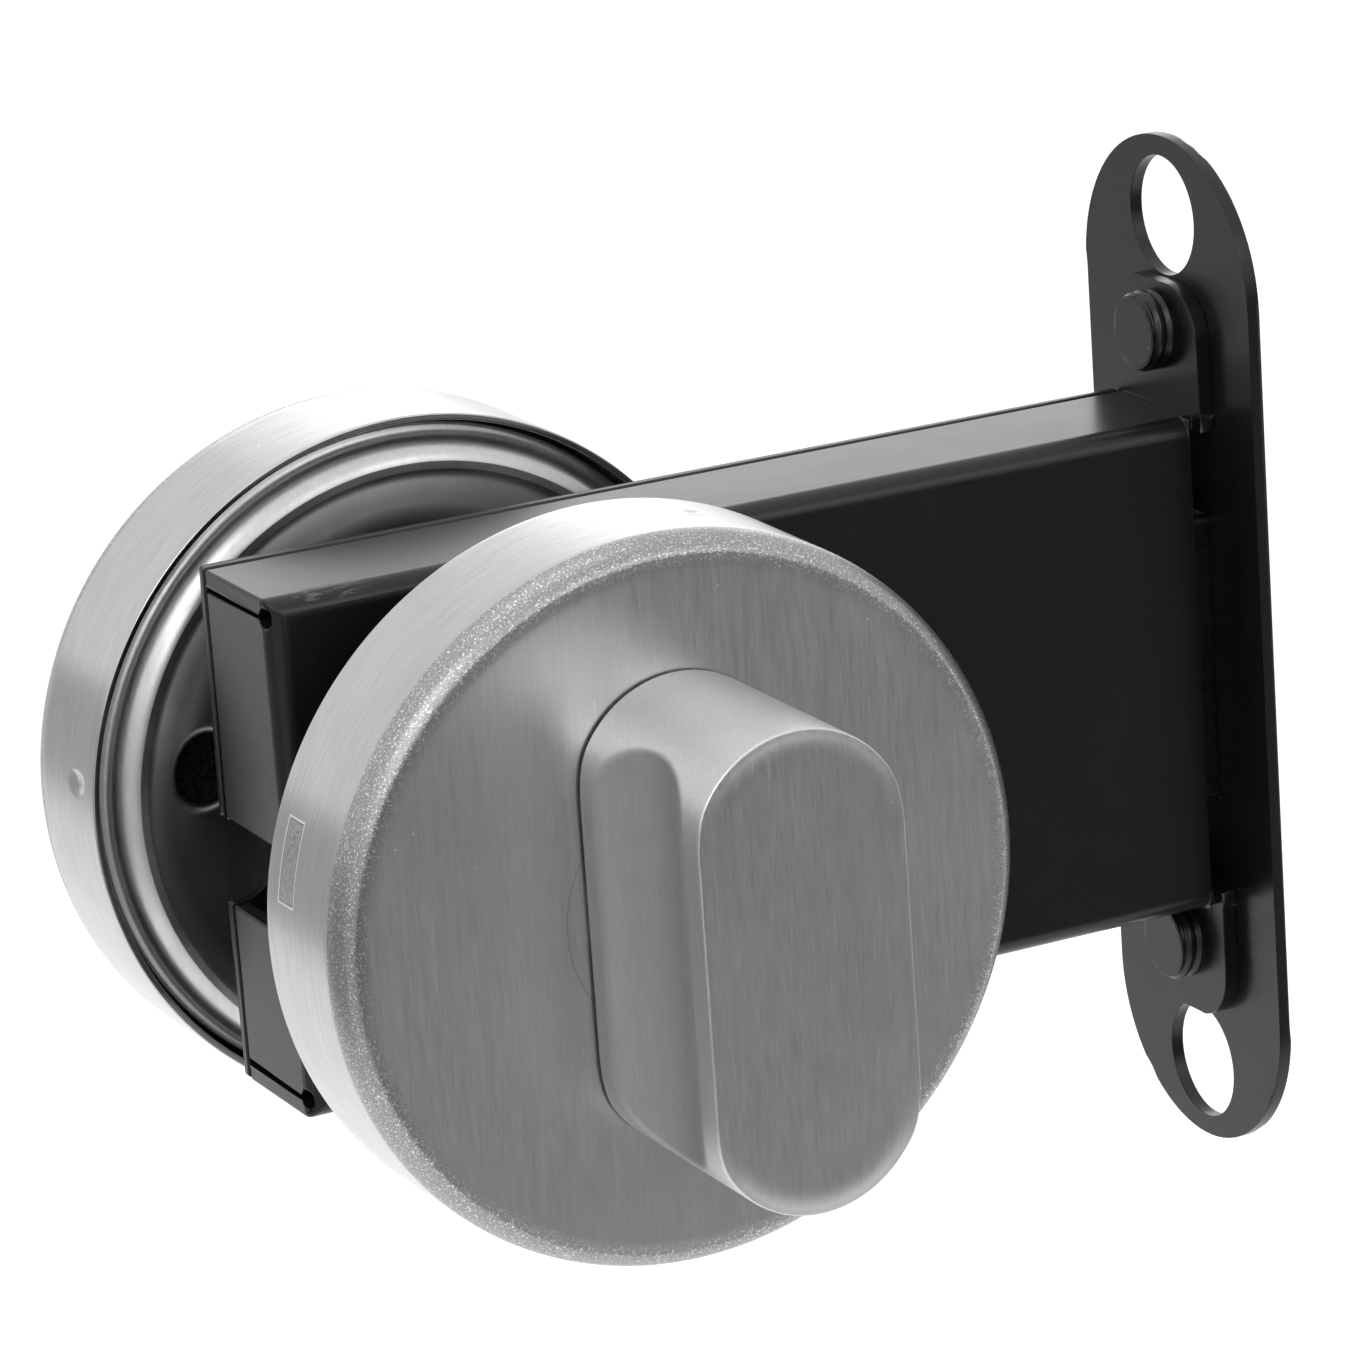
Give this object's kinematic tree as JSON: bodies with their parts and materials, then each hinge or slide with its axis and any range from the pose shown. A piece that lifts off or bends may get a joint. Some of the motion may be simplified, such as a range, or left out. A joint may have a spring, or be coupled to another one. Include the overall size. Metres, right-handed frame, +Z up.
{
  "type": "toilet indicator bolt",
  "caption": "Mortice deadbolt with a folded black case and forend, a scalloped thumb turn on a round rose, and a coin-slot release with an indicator window.",
  "frame": {"origin": "middle of the forend's outer face, halfway between its two fixing holes", "axes": "+X out of the door's edge, the way the bolt shoots; +Y through the door from the thumb turn to the release; +Z up"},
  "size_m": [0.083, 0.0762, 0.078],
  "materials": {
    "case_paint": "smooth semi-gloss black paint with a few specks and a worn corner",
    "satin_steel": "satin stainless steel, brushed along one direction on the faces and polished round the walls",
    "plate_steel": "pressed stainless steel with a bright rolled rim",
    "bright_steel": "bright ground steel",
    "plain_steel": "plain pressed steel",
    "dark_steel": "dark oiled spring steel",
    "nylon": "natural nylon",
    "indicator_enamel": "enamel in a green sector and a red sector",
    "clear_acrylic": "clear acrylic"
  },
  "bodies": {
    "lock": {"case_body": "case_paint", "case_cover": "case_paint", "cover_studs": "case_paint", "forend": "case_paint", "forend_screws": "case_paint", "guide_tube": "plain_steel", "detent_spring": "bright_steel", "front_rose_cover": "satin_steel", "front_rose_plate": "plate_steel", "front_bush": "nylon", "rear_rose_cover": "satin_steel", "rear_rose_plate": "plate_steel", "rear_bush": "nylon", "window_lens": "clear_acrylic"},
    "turn": {"thumb_turn": "satin_steel", "turn_washer": "nylon", "turn_circlip": "dark_steel", "turn_grub_screw": "dark_steel", "spindle": "bright_steel", "follower": "plain_steel", "crank_pin": "bright_steel", "release_boss": "satin_steel", "release_washer": "nylon", "release_circlip": "dark_steel", "release_grub_screw": "dark_steel", "indicator_disc": "indicator_enamel"},
    "bolt": {"bolt_head": "dark_steel", "bolt_tail": "plain_steel", "tail_rivets": "bright_steel"}
  },
  "joints": [
    {"name": "turn_hinge", "type": "hinge", "parent": "lock", "child": "turn", "pos_m": [-0.057, 0, -0.0016], "axis": [0, 1, 0], "range_deg": [0, 90]},
    {"name": "bolt_slide", "type": "slide", "parent": "lock", "child": "bolt", "axis": [1, 0, 0], "range_m": [0, 0.0135]}
  ],
  "couplings": [
    {"joint": "bolt_slide", "follows": "turn_hinge", "m_per_rad": 0.008553}
  ]
}
